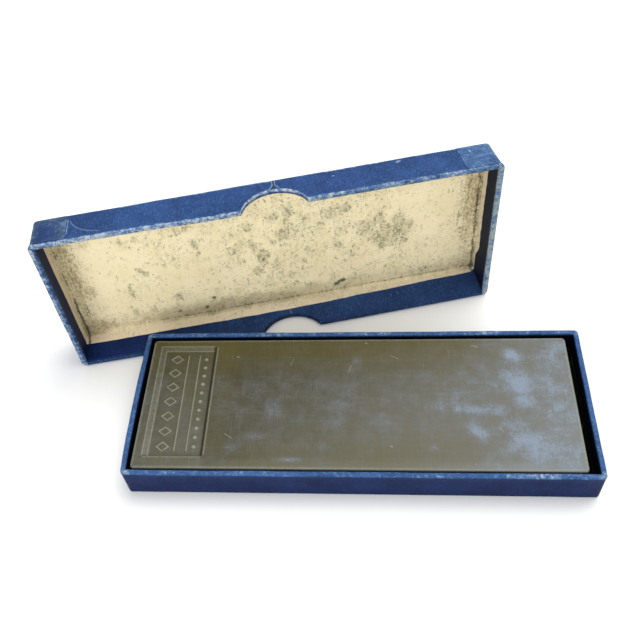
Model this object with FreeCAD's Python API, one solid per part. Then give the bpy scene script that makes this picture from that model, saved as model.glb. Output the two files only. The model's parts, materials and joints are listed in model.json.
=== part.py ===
import FreeCAD, Part
import math
import os

# Boxed sharpening whetstone, in millimetres.
# Origin: centre of the tray's underside.  +X along the tray, +Y towards the standing lid, +Z up.

# --- stone: a 7 x 2 1/2 x 1/2 inch bench stone --------------------------------------------
stone_length = 177.8
stone_width = 63.5
stone_height = 12.7
stone_corner_radius = 1.5
stone_edge_chamfer = 0.4
stone_end_gap = 1.35          # between the stone's left end and the tray's inner wall
stone_rest_gap = 0.1          # the stone's own body stays this far off the lining

# --- recessed panel in the stone's face, with a raised ornament ----------------------------
panel_from_end = 3.6          # stone's left end to the recess
panel_from_far_side = 3.1
panel_length = 24.8           # along X
panel_width = 54.9            # along Y
panel_depth = 1.0
panel_bevel_wide = 2.8        # sloped left and far sides
panel_bevel_steep = 0.5       # right and near sides
ornament_height = 0.45
lozenge_count = 7
lozenge_half_length = 2.6     # along Y
lozenge_half_width = 3.2      # along X
stud_count = 11
stud_radius = 1.1
rib_width = 0.8

# --- box construction: paper-covered board -------------------------------------------------
paper = 0.2
board = 1.35
wall = board + 2 * paper
stay_thickness = 0.1          # tape that holds each corner of the folded board
stay_reach = 11.0
stay_margin = 1.0
corner_tab = 14.5             # end wrap's flap on the long wall

# --- tray ------------------------------------------------------------------------------------
tray_length = 186.5
tray_width = 70.0
tray_height = 15.75
tray_corner_radius = 1.6
tray_turn_in = 9.5            # how far the wrap comes down inside the wall

# --- lid: goes over the whole tray -----------------------------------------------------------
lid_clearance = 0.45          # each side, over the tray
lid_length = tray_length + 2 * (lid_clearance + wall)
lid_width = tray_width + 2 * (lid_clearance + wall)
lid_depth = 18.4
lid_corner_radius = 2.2
lid_turn_in = 12.0
upper_notch_radius = 14.0     # thumb notch in each long wall, shallower in the lower one
upper_notch_depth = 10.5
lower_notch_radius = 16.0
lower_notch_depth = 7.4
notch_shift = 2.6             # notch centre, off the wall's middle, towards the lid's right end

# --- where the lid stands: on one long wall behind the tray, open side towards -Y ------------
lid_yaw = 12.3                # degrees, right end farther back
lid_overhang = 34.0           # lid's length to the left of the tray's back left corner
lid_gap = 0.5                 # between that corner and the lid's rim


def vec(x, y, z):
    return FreeCAD.Vector(x, y, z)


def block(x0, x1, y0, y1, z0, z1):
    """Box between two corners."""
    return Part.makeBox(x1 - x0, y1 - y0, z1 - z0, vec(x0, y0, z0))


def centred_block(length, width, z0, z1):
    return block(-length / 2, length / 2, -width / 2, width / 2, z0, z1)


def rounded_prism(length, width, radius, z0, z1):
    """Upright prism of a rectangle centred on the origin, with its vertical edges rounded."""
    prism = centred_block(length, width, z0, z1)
    upright = [e for e in prism.Edges if abs(e.Vertexes[0].Z - e.Vertexes[1].Z) > 1e-6]
    return prism.makeFillet(radius, upright)


def save(name, shape, placement):
    """Writes one sub-part in its place and stops if it isn't one sound solid."""
    clean = shape.removeSplitter()
    if len(clean.Solids) != 1 or not clean.isValid():
        raise ValueError("%s: %d solids, valid %s" % (name, len(clean.Solids), clean.isValid()))
    solid = clean.Solids[0]
    solid.Placement = placement.multiply(solid.Placement)
    solid.exportStep("parts/" + name + ".step")
    print("%-24s %10.2f mm3" % (name, solid.Volume))


# --- stone -----------------------------------------------------------------------------------
def lozenge(x, y, half_x, half_y, z0, z1):
    """Upright diamond-shaped boss."""
    corners = [vec(x - half_x, y, z0), vec(x, y - half_y, z0), vec(x + half_x, y, z0), vec(x, y + half_y, z0)]
    outline = Part.makePolygon(corners + corners[:1])
    return Part.Face(outline).extrude(vec(0, 0, z1 - z0))


def loft_rectangles(lower, upper, z0, z1):
    """Solid between two rectangles (x0, x1, y0, y1) at two heights."""
    wires = []
    for (x0, x1, y0, y1), z in ((lower, z0), (upper, z1)):
        points = [vec(x0, y0, z), vec(x1, y0, z), vec(x1, y1, z), vec(x0, y1, z)]
        wires.append(Part.makePolygon(points + points[:1]))
    return Part.makeLoft(wires, True, True)


def stone_ornament(floor, z0, z1):
    """Raised generic pattern: a row of lozenges, a row of studs and two ribs between them."""
    x0, x1, y0, y1 = floor
    middle_y = (y0 + y1) / 2
    usable = y1 - y0 - 2 * lozenge_half_length - 3.0
    bosses = []
    lozenge_x = x0 + 2.0 + lozenge_half_width
    for i in range(lozenge_count):
        y = middle_y + usable * (i / (lozenge_count - 1) - 0.5)
        bosses.append(lozenge(lozenge_x, y, lozenge_half_width, lozenge_half_length, z0, z1))
    stud_x = x1 - 3.4
    for i in range(stud_count):
        y = middle_y + usable * (i / (stud_count - 1) - 0.5)
        bosses.append(Part.makeCylinder(stud_radius, z1 - z0, vec(stud_x, y, z0)))
    rib_left = lozenge_x + lozenge_half_width + 1.4
    rib_right = stud_x - stud_radius - 1.4
    for x in (rib_left, rib_right - rib_width):
        bosses.append(block(x, x + rib_width, y0 + 1.8, y1 - 1.8, z0, z1))
    return bosses


def make_stone():
    """One moulded block with a bevelled recess near its left end."""
    bottom = wall + stone_rest_gap
    top = bottom + stone_height
    left = -tray_length / 2 + wall + stone_end_gap
    body = rounded_prism(stone_length, stone_width, stone_corner_radius, bottom, top)
    body.translate(vec(left + stone_length / 2, 0, 0))
    rims = [e for e in body.Edges if abs(e.BoundBox.ZMax - e.BoundBox.ZMin) < 1e-6]
    body = body.makeChamfer(stone_edge_chamfer, rims)

    x0 = left + panel_from_end
    y1 = stone_width / 2 - panel_from_far_side
    mouth = (x0, x0 + panel_length, y1 - panel_width, y1)
    floor = (mouth[0] + panel_bevel_wide, mouth[1] - panel_bevel_steep,
             mouth[2] + panel_bevel_steep, mouth[3] - panel_bevel_wide)
    floor_z = top - panel_depth
    recess = loft_rectangles(floor, mouth, floor_z, top)
    body = body.cut(recess)
    for boss in stone_ornament(floor, floor_z - 0.2, floor_z + ornament_height):
        body = body.fuse(boss)
    return body


# --- set-up box: tray and lid are made the same way, underside down, open upwards ------------
def notch_cutter(side, height, growth):
    """Cylinder across one long wall whose lower arc is that wall's thumb notch, grown evenly."""
    radius = upper_notch_radius if side > 0 else lower_notch_radius
    depth = upper_notch_depth if side > 0 else lower_notch_depth
    centre = vec(notch_shift, 0, height - depth + radius)
    return Part.makeCylinder(radius + growth, lid_width, centre, vec(0, side, 0))


def corner_stays(length, width, radius, height):
    """Four tape angles, pressed into the board's outer corners under the wrap."""
    outer = rounded_prism(length, width, radius, paper + stay_margin, height - paper - stay_margin)
    inner = rounded_prism(length - 2 * stay_thickness, width - 2 * stay_thickness,
                          radius - stay_thickness, 0, height)
    skin = outer.cut(inner)
    stays = []
    for side_x in (-1, 1):
        for side_y in (-1, 1):
            xs = sorted((side_x * (length / 2 - stay_reach), side_x * length))
            ys = sorted((side_y * (width / 2 - stay_reach), side_y * width))
            stays.append(skin.common(block(xs[0], xs[1], ys[0], ys[1], 0, height)))
    return stays


def end_wrap(side, length, width, radius, height, turn_in):
    """Wrap of one end wall: outer face with a tab round each corner, rim and turn-in."""
    ring = rounded_prism(length, width, radius, 0, height).cut(
        rounded_prism(length - 2 * paper, width - 2 * paper, radius - paper, 0, height))
    xs = sorted((side * (length / 2 - corner_tab), side * length))
    sheet = ring.common(block(xs[0], xs[1], -width, width, 0, height))
    # the rim strip also fills the corner, up to where the long wrap's rim strip starts
    rim_x = sorted((side * (length / 2 - wall), side * length))
    rim = rounded_prism(length - 2 * paper, width - 2 * paper, radius - paper, height - paper, height)
    rim = rim.common(block(rim_x[0], rim_x[1], -width, width, 0, height))
    turn_x = sorted((side * (length / 2 - wall), side * (length / 2 - wall + paper)))
    half = width / 2 - wall + paper
    turned = block(turn_x[0], turn_x[1], -half, half, height - turn_in, height - paper)
    return sheet.fuse(rim).fuse(turned)


def long_wrap(side, length, width, height, turn_in, notched):
    """Wrap of one long wall between the tabs: outer face, rim and turn-in, round the notch too."""
    span = length / 2 - corner_tab
    inner_span = length / 2 - wall

    def slab(half_length, from_outside, to_outside, z0, z1):
        ys = sorted((side * (width / 2 - from_outside), side * (width / 2 - to_outside)))
        return block(-half_length, half_length, ys[0], ys[1], z0, z1)

    sheet = slab(span, 0, paper, 0, height)
    rim = slab(inner_span, paper, wall, height - paper, height)
    turned = slab(inner_span, wall - paper, wall, height - turn_in, height - paper)
    wrap = sheet.fuse(rim).fuse(turned)
    if notched:
        notch = notch_cutter(side, height, 0)
        lining = notch_cutter(side, height, paper).cut(notch)
        wrap = wrap.fuse(lining.common(slab(inner_span, 0, wall, 0, height))).cut(notch)
    return wrap


def setup_box(prefix, long_sides, length, width, height, radius, turn_in, notched):
    """All pieces of one covered box, as {node name: shape}; long_sides names its -Y and +Y walls."""
    board_length = length - 2 * paper
    board_width = width - 2 * paper
    cavity_length = length - 2 * wall + 2 * paper
    cavity_width = width - 2 * wall + 2 * paper
    floor_top = paper + board
    lining_top = height - turn_in

    stays = corner_stays(board_length, board_width, radius - paper, height)
    blank = rounded_prism(board_length, board_width, radius - paper, paper, height - paper)
    blank = blank.cut(centred_block(cavity_length, cavity_width, floor_top, height))
    for stay in stays:
        blank = blank.cut(stay)
    if notched:
        for side in (-1, 1):
            blank = blank.cut(notch_cutter(side, height, paper))

    lining = centred_block(cavity_length, cavity_width, floor_top, lining_top)
    lining = lining.cut(centred_block(cavity_length - 2 * paper, cavity_width - 2 * paper,
                                      floor_top + paper, lining_top))

    shapes = {
        prefix + "_board": blank,
        prefix + "_base_paper": rounded_prism(board_length, board_width, radius - paper, 0, paper),
        prefix + "_lining": lining,
        prefix + "_wrap_left": end_wrap(-1, length, width, radius, height, turn_in),
        prefix + "_wrap_right": end_wrap(1, length, width, radius, height, turn_in),
        prefix + "_wrap_" + long_sides[0]: long_wrap(-1, length, width, height, turn_in, notched),
        prefix + "_wrap_" + long_sides[1]: long_wrap(1, length, width, height, turn_in, notched),
    }
    for number, stay in enumerate(stays, 1):
        shapes["%s_corner_stay_%d" % (prefix, number)] = stay
    return shapes


def lid_placement():
    """Turns the lid up onto its near long wall, yaws it and sets it behind the tray's corner."""
    yaw = math.radians(lid_yaw)
    along = vec(math.cos(yaw), math.sin(yaw), 0)
    away = vec(-math.sin(yaw), math.cos(yaw), 0)
    tray_corner = vec(-tray_length / 2, tray_width / 2, 0)
    rim_left = tray_corner - along * lid_overhang + away * lid_gap
    centre = rim_left + along * (lid_length / 2) + away * lid_depth + vec(0, 0, lid_width / 2)
    turn = FreeCAD.Rotation(vec(0, 0, 1), lid_yaw).multiply(FreeCAD.Rotation(vec(1, 0, 0), 90))
    return FreeCAD.Placement(centre, turn)


def main():
    os.makedirs("parts", exist_ok=True)
    at_origin = FreeCAD.Placement()
    save("whetstone_block", make_stone(), at_origin)
    tray = setup_box("tray", ("near", "far"), tray_length, tray_width, tray_height,
                     tray_corner_radius, tray_turn_in, False)
    for name, shape in tray.items():
        save(name, shape, at_origin)
    lid = setup_box("lid", ("lower", "upper"), lid_length, lid_width, lid_depth,
                    lid_corner_radius, lid_turn_in, True)
    standing = lid_placement()
    for name, shape in lid.items():
        save(name, shape, standing)


main()
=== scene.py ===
import json
from math import acos, copysign, cos, degrees, exp, hypot, pi, radians, sin, sqrt

import bmesh
import bpy
import numpy as np
from mathutils import Matrix, Vector, noise


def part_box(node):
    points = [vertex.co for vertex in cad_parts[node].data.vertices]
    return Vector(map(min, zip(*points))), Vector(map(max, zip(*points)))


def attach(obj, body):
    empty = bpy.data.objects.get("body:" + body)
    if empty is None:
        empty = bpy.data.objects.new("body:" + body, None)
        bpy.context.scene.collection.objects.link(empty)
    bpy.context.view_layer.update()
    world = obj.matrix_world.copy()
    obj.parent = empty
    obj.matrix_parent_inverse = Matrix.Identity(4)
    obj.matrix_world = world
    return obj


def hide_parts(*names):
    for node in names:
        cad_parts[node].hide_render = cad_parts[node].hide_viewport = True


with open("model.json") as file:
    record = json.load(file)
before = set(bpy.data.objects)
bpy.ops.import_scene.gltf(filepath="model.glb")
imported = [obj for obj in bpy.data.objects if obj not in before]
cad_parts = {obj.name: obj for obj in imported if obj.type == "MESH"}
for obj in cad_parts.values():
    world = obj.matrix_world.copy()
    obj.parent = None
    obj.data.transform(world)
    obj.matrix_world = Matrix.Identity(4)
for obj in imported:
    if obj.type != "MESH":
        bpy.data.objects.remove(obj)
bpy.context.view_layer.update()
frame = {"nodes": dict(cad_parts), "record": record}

MM = 0.001

# --- sizes, in millimetres ---
WALL = 1.75                 # board and both papers
SHEET = 0.2                 # one paper
TAB = 14.5                  # end wrap's flap on the long walls
RIM_OUTER, RIM_INNER = 0.6, 0.5   # softened edges of the folded rim
BOTTOM_EDGE = 0.55
STEP = 1.5                  # mesh spacing along the walls
FINE_STEP = 0.9             # and over the linings
WALL_ROW = 0.9              # and up the walls
WELD = 0.004                # points closer than this become one
SHARP = radians(42)         # edges sharper than this stay sharp

NOTCH_SHIFT = 2.6
NOTCH = {"far": (14.0, 10.5), "near": (16.0, 7.4)}   # radius and depth in the two long walls

LID_YAW = radians(12.3)
LID_LEAN = 0.018            # the panel leans back by this much per millimetre of height
LID_SPLAY = 3.35            # the upper wall's rim stands this much high at its ends
LID_SAG = 1.25              # and drops back by this much beside the notch

# --- camera ---
CAMERA_AT = (8.38, -182.53, 295.24)
CAMERA_YAW, CAMERA_PITCH, CAMERA_ROLL = -9.55, 50.77, 8.0
SENSOR, LENS = 36.0, 45.44
SHIFT = (0.0449, -0.0017)   # in image widths


# --- Materials ---
class Paint:
    """Short ways to write a node material for one of the record's slots."""

    def __init__(self, slot):
        self.material = bpy.data.materials.new(slot)
        self.material["slot"] = slot
        self.material.use_nodes = True
        self.tree = self.material.node_tree
        self.tree.nodes.clear()
        self.output = self.tree.nodes.new("ShaderNodeOutputMaterial")
        self.shader = self.tree.nodes.new("ShaderNodeBsdfPrincipled")
        self.tree.links.new(self.shader.outputs[0], self.output.inputs[0])

    def put(self, socket, value):
        if isinstance(value, bpy.types.NodeSocket):
            self.tree.links.new(value, socket)
        elif hasattr(value, "__len__") and len(value) == 3 and socket.type == "RGBA":
            socket.default_value = (*value, 1.0)
        else:
            socket.default_value = value

    def finish(self, colour, roughness, specular=0.5):
        """Connects the surface's values and gives back the material."""
        self.put(self.shader.inputs["Base Color"], colour)
        self.put(self.shader.inputs["Roughness"], roughness)
        self.put(self.shader.inputs["Specular IOR Level"], specular)
        return self.material

    def attribute(self, name, output="Fac"):
        node = self.tree.nodes.new("ShaderNodeAttribute")
        node.attribute_name = name
        return node.outputs[output]

    def masks(self, *names):
        return [self.attribute(name) for name in names]

    def math(self, operation, a, b=0.0):
        node = self.tree.nodes.new("ShaderNodeMath")
        node.operation = operation
        self.put(node.inputs[0], a)
        self.put(node.inputs[1], b)
        return node.outputs[0]

    def add(self, a, b):
        return self.math("ADD", a, b)

    def times(self, a, b):
        return self.math("MULTIPLY", a, b)

    def minus(self, a, b):
        return self.math("SUBTRACT", a, b)

    def swing(self, texture, times):
        """How far a texture is from its middle value, so many times over."""
        return self.times(self.minus(texture, 0.5), times)

    def split(self, vector):
        node = self.tree.nodes.new("ShaderNodeSeparateXYZ")
        self.put(node.inputs[0], vector)
        return node.outputs

    def stretch(self, vector, scale):
        node = self.tree.nodes.new("ShaderNodeMapping")
        self.put(node.inputs["Vector"], vector)
        node.inputs["Scale"].default_value = scale
        return node.outputs[0]

    def noise(self, vector, scale, detail=3.0, rough=0.55, warp=0.0):
        node = self.tree.nodes.new("ShaderNodeTexNoise")
        self.put(node.inputs["Vector"], vector)
        self.put(node.inputs["Scale"], scale)
        node.inputs["Detail"].default_value = detail
        node.inputs["Roughness"].default_value = rough
        node.inputs["Distortion"].default_value = warp
        return node.outputs["Fac"]

    def cells(self, vector, scale):
        node = self.tree.nodes.new("ShaderNodeTexVoronoi")
        self.put(node.inputs["Vector"], vector)
        self.put(node.inputs["Scale"], scale)
        return node.outputs["Distance"]

    def rise(self, value, low, high):
        """0 to 1, smoothly, as value goes from low to high."""
        node = self.tree.nodes.new("ShaderNodeMapRange")
        node.interpolation_type = "SMOOTHSTEP"
        for socket, number in zip(node.inputs, (value, low, high)):
            self.put(socket, number)
        return node.outputs[0]

    def mix(self, share, a, b):
        node = self.tree.nodes.new("ShaderNodeMix")
        node.data_type = "RGBA"
        self.put(node.inputs[0], share)
        self.put(node.inputs[6], a)
        self.put(node.inputs[7], b)
        return node.outputs[2]

    def tint(self, colour, mask, share, r, g, b):
        """Lays a display colour over another, by a share of a mask."""
        return self.mix(self.times(mask, share), colour, srgb(r, g, b))

    def bump(self, height, strength, distance):
        node = self.tree.nodes.new("ShaderNodeBump")
        node.inputs["Strength"].default_value = strength
        node.inputs["Distance"].default_value = distance * MM
        self.put(node.inputs["Height"], height)
        self.put(self.shader.inputs["Normal"], node.outputs[0])


def srgb(r, g, b):
    """A colour given as 0 to 255 display values, in the linear values that a shader takes."""
    out = []
    for v in (r, g, b):
        c = v / 255
        out.append(c / 12.92 if c <= 0.04045 else ((c + 0.055) / 1.055) ** 2.4)
    return tuple(out)


# Marks on the lid, in millimetres along it and down from the rim: start, end and half width.
PALE_UPPER_MARKS = [
    (96.8, 10.8, 98.9, 14.6, 0.26), (98.9, 14.6, 98.8, 18.0, 0.2), (101.4, 11.8, 99.9, 14.4, 0.24),
    (99.9, 14.4, 100.0, 18.0, 0.2), (15.0, 4.6, 15.2, 15.0, 0.2), (36.0, 17.6, 50.0, 17.9, 0.3),
    (123.4, 13.4, 124.4, 13.8, 0.4), (150.6, 15.4, 152.4, 16.6, 0.7)]
DARK_UPPER_MARKS = [(98.2, 11.0, 99.4, 14.5, 0.36), (99.4, 14.5, 99.4, 18.0, 0.28)]
PALE_LOWER_MARKS = [
    (98.7, 11.3, 99.2, 6.6, 0.22), (146.5, 9.6, 147.4, 8.0, 0.14), (150.0, 10.4, 150.6, 8.4, 0.12)]
DARK_LOWER_MARKS = [
    (96.9, 15.4, 96.9, 11.6, 0.5), (13.4, 13.5, 13.8, 5.5, 0.9), (67.0, 13.0, 67.3, 4.0, 1.0),
    (76.5, 13.0, 76.9, 6.0, 0.8)]
CURVED_SCUFF = (30.0, 15.5, 14.0, 12.0)     # centre and half axes of an ellipse

# Thin scratches on the stone, in its own place.
STONE_SCRATCHES = [
    (-27.2, 21.4, -28.4, 17.8, 0.1), (-2.4, 18.0, -3.6, 14.0, 0.1), (-53.6, -15.8, -50.2, -18.0, 0.12),
    (48.4, 28.0, 51.4, 27.0, 0.14), (14.0, 23.0, 17.6, 21.0, 0.09), (56.0, -12.4, 57.6, -14.4, 0.1),
    (13.4, -21.2, 14.2, -21.6, 0.3), (-52.0, 22.6, -51.2, 22.4, 0.3), (3.4, 29.6, 4.2, 29.4, 0.3)]


def strokes(p, u, v, marks, wobble):
    """Mask of thin straight marks."""
    total = 0.0
    for u0, v0, u1, v1, half_width in marks:
        length = hypot(u1 - u0, v1 - v0)
        du, dv = (u1 - u0) / length, (v1 - v0) / length
        from_u, from_v = p.minus(u, u0), p.minus(v, v0)
        along = p.add(p.times(from_u, du), p.times(from_v, dv))
        off = p.math("ABSOLUTE", p.add(wobble, p.add(p.times(from_u, -dv), p.times(from_v, du))))
        middle = p.math("ABSOLUTE", p.minus(along, length / 2))
        body = p.rise(off, half_width * 1.4, half_width * 0.4)
        ends = p.rise(middle, length / 2 + half_width, length / 2 - half_width)
        total = p.math("MAXIMUM", total, p.times(body, ends))
    return total


def blue_paper():
    """Navy covering paper: faded in clouds, rubbed pale at its edges, soiled and scratched, and taken
    towards near black by painted shade.
    """
    p = Paint("blue_paper")
    place = p.attribute("place", "Vector")
    wear, fade, grime, soot = p.masks("wear", "fade", "grime", "soot")
    cloud = p.noise(place, 0.09, 4.0, 0.6)
    mottle = p.noise(place, 0.45, 4.0, 0.6)
    fibre = p.noise(p.stretch(place, (1.0, 1.0, 0.4)), 1.5, 5.0, 0.75)
    bands = p.noise(p.stretch(place, (1.0, 1.0, 0.05)), 0.5, 3.0, 0.6)
    fine = p.noise(place, 1.1, 5.0, 0.68)
    grit = p.noise(place, 3.0, 4.0, 0.7)

    deep = p.mix(p.rise(cloud, 0.35, 0.7), srgb(14, 30, 76), srgb(22, 42, 96))
    faded = p.mix(p.rise(cloud, 0.3, 0.7), srgb(50, 82, 130), srgb(62, 96, 146))
    colour = p.mix(fade, deep, faded)
    colour = p.tint(colour, p.rise(bands, 0.5, 0.8), 0.3, 18, 30, 64)
    colour = p.tint(colour, p.rise(mottle, 0.5, 0.75), 0.22, 30, 52, 104)
    pale_fibre = p.times(p.rise(fibre, 0.5, 0.66), p.add(0.07, p.times(fade, 0.5)))
    colour = p.mix(pale_fibre, colour, srgb(84, 126, 164))
    colour = p.tint(colour, p.rise(fibre, 0.5, 0.36), 0.42, 18, 38, 80)
    dirty = p.rise(p.add(grime, p.swing(cloud, 0.9)), 0.3, 0.9)
    colour = p.tint(colour, dirty, 0.6, 72, 88, 98)

    # rubbing follows the edges and breaks up with the grain of the paper
    uneven = p.add(p.swing(fine, 1.1), p.swing(mottle, 1.5))
    uneven = p.add(uneven, p.swing(grit, 0.8))
    rubbed = p.rise(p.add(wear, uneven), 0.36, 0.78)
    bare = p.rise(p.add(wear, p.times(uneven, 1.1)), 0.70, 1.08)
    colour = p.tint(colour, rubbed, 0.7, 98, 128, 164)
    colour = p.mix(p.times(bare, 0.86), colour, p.mix(grime, srgb(182, 190, 198), srgb(150, 160, 152)))
    frayed = p.times(p.rise(fine, 0.47, 0.36), p.rise(wear, 0.45, 0.7))
    colour = p.tint(colour, frayed, 0.55, 46, 58, 66)
    # painted shade, near black: inside the boxes, along the lid's notch edge and on the tray's outer faces
    colour = p.tint(colour, soot, 0.95, 7, 8, 15)

    along, down = p.masks("along", "down")
    wobble = p.swing(fine, 0.9)
    on_upper, on_lower = p.masks("upper_face", "lower_face")
    dark = p.add(p.times(strokes(p, along, down, DARK_UPPER_MARKS, wobble), on_upper),
                 p.times(strokes(p, along, down, DARK_LOWER_MARKS, wobble), p.times(on_lower, 0.5)))
    centre_u, centre_v, half_u, half_v = CURVED_SCUFF
    reach = p.math("SQRT", p.add(p.math("POWER", p.times(p.minus(along, centre_u), 1 / half_u), 2.0),
                                 p.math("POWER", p.times(p.minus(down, centre_v), 1 / half_v), 2.0)))
    scuff = p.rise(p.math("ABSOLUTE", p.add(p.minus(reach, 1.0), p.times(wobble, 0.02))), 0.03, 0.008)
    scuff = p.times(scuff, p.times(p.rise(along, 29.5, 27.0), p.rise(down, 14.5, 13.0)))
    pale = p.math("MAXIMUM", strokes(p, along, down, PALE_UPPER_MARKS, wobble), p.times(scuff, 0.55))
    pale = p.add(p.times(pale, on_upper),
                 p.times(strokes(p, along, down, PALE_LOWER_MARKS, wobble), p.times(on_lower, 0.7)))
    colour = p.tint(colour, dark, 0.9, 40, 48, 50)
    colour = p.tint(colour, pale, 0.55, 146, 168, 190)
    hollows = p.add(p.times(bare, -0.6), p.times(dark, -0.8))
    p.bump(p.add(p.times(fibre, 0.5), p.add(fine, hollows)), 0.5, 0.12)
    return p.finish(colour, p.add(0.55, p.times(rubbed, 0.25)), 0.08)


def cream_lining():
    """Cream lining paper, foxed and mouldy, with dense blots, and painted shade along its creases and by the
    tray's end walls.
    """
    p = Paint("cream_lining")
    place = p.attribute("place", "Vector")
    mould, grime, brown, dark, clean = p.masks("mould", "grime", "brown", "dark", "clean")
    cloud = p.noise(place, 0.07, 4.0, 0.6)
    patch = p.noise(place, 0.3, 5.0, 0.65)
    speck = p.noise(p.stretch(place, (1.25, 1.0, 1.0)), 0.85, 6.0, 0.72)
    upright = p.noise(p.stretch(place, (1.3, 0.16, 1.0)), 0.8, 5.0, 0.7)
    grain = p.noise(place, 4.5, 3.0, 0.6)

    colour = p.mix(p.rise(cloud, 0.3, 0.72), srgb(250, 235, 194), srgb(243, 227, 182))
    colour = p.tint(colour, p.rise(patch, 0.54, 0.78), 0.25, 226, 198, 148)
    colour = p.mix(clean, colour, srgb(240, 224, 194))
    stain = p.rise(p.add(grime, p.swing(patch, 0.9)), 0.0, 1.2)
    colour = p.tint(colour, stain, 0.8, 136, 127, 98)
    streak = p.minus(upright, 0.5)
    broken = p.minus(speck, 0.5)
    tan = p.rise(p.add(brown, p.add(p.times(streak, 1.8), p.times(broken, 3.0))), 0.15, 1.5)
    colour = p.tint(colour, tan, 0.85, 120, 98, 52)
    # the dark mask holds the lid's dense blots, and painted shade in the creases and by the tray's end walls
    smudge = p.rise(p.add(dark, p.add(p.times(streak, 1.3), p.times(broken, 1.6))), 0.38, 1.0)
    colour = p.tint(colour, smudge, 0.85, 52, 58, 54)
    # near black where that mask runs highest
    colour = p.mix(p.rise(dark, 1.1, 1.9), colour, srgb(9, 10, 13))
    # mould: soft grey-green clouds, with specks of two sizes that crowd together in them
    mould = p.math("MINIMUM", mould, 1.7)
    halo = p.rise(p.add(mould, p.add(p.swing(patch, 3.0), p.times(streak, 1.6))), 0.35, 1.8)
    colour = p.tint(colour, halo, 0.42, 170, 164, 128)
    coarse = p.noise(p.stretch(place, (1.5, 0.85, 1.0)), 0.42, 5.0, 0.66)
    crowd = p.math("MINIMUM", mould, 1.3)
    loose = p.add(p.minus(coarse, 0.5), p.times(broken, 0.35))
    spots = p.rise(p.add(p.times(crowd, 0.12), loose), 0.13, 0.27)
    colour = p.tint(colour, spots, 0.56, 110, 113, 90)
    specks = p.rise(p.add(p.times(crowd, 0.085), broken), 0.125, 0.22)
    colour = p.tint(colour, specks, 0.5, 104, 101, 76)
    tiny = p.rise(p.noise(place, 2.1, 3.0, 0.6), 0.68, 0.74)
    colour = p.tint(colour, tiny, 0.35, 150, 132, 88)
    colour = p.tint(colour, p.rise(grain, 0.5, 0.8), 0.14, 200, 180, 130)
    p.bump(p.add(p.times(patch, 1.5), p.add(p.times(grain, 0.35), p.times(specks, -0.2))), 0.5, 0.15)
    return p.finish(colour, 0.82, 0.15)


def greyboard():
    """Raw board of pulped paper, with flecks."""
    p = Paint("greyboard")
    place = p.attribute("place", "Vector")
    fibre = p.noise(p.stretch(place, (1.0, 1.0, 4.0)), 1.4, 5.0, 0.7)
    fleck = p.cells(place, 1.1)
    colour = p.mix(p.rise(fibre, 0.3, 0.7), srgb(104, 96, 78), srgb(136, 126, 102))
    colour = p.tint(colour, p.rise(fleck, 0.25, 0.05), 0.5, 78, 71, 58)
    p.bump(fibre, 0.6, 0.15)
    return p.finish(colour, 0.9, 0.15)


def kraft_tape():
    """Gummed brown paper tape."""
    p = Paint("kraft_tape")
    place = p.attribute("place", "Vector")
    fibre = p.noise(p.stretch(place, (1.0, 1.0, 0.2)), 2.0, 5.0, 0.7)
    colour = p.mix(p.rise(fibre, 0.3, 0.7), srgb(150, 112, 70), srgb(176, 138, 92))
    p.bump(fibre, 0.4, 0.08)
    return p.finish(colour, 0.75, 0.2)


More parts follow.
